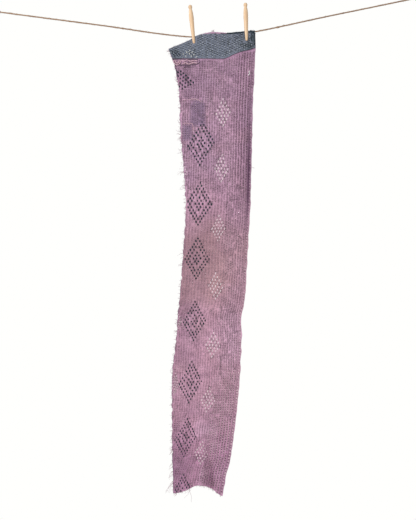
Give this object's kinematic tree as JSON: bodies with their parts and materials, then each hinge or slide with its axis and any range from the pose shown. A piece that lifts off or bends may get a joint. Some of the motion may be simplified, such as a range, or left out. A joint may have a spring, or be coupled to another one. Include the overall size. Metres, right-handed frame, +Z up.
{
  "type": "kantha cloth strip pegged on a twine line",
  "caption": "Long narrow quilted kantha strip hung from a twine line by wooden dolly pegs, with a blue end panel and frayed cut edges.",
  "frame": {"origin": "middle of the loop at the line's left end", "axes": "+Z up, +X along the line to the right as seen from the cloth's front, -Y out of the cloth's front"},
  "size_m": [1.2517, 0.0312, 1.4789],
  "materials": {
    "plum_kantha": "matt quilted cotton",
    "slate_cotton": "matt quilted cotton",
    "plum_threads": "matt loose thread",
    "beech": "smooth turned wood",
    "jute": "matt twine"
  },
  "bodies": {
    "root": {"cloth": "plum_kantha", "blue_end_panel": "slate_cotton", "fray_left": "plum_threads", "fray_bottom": "plum_threads", "peg_left": "beech", "peg_right": "beech", "line": "jute", "line_loop_left": "jute", "line_loop_right": "jute"}
  },
  "joints": []
}
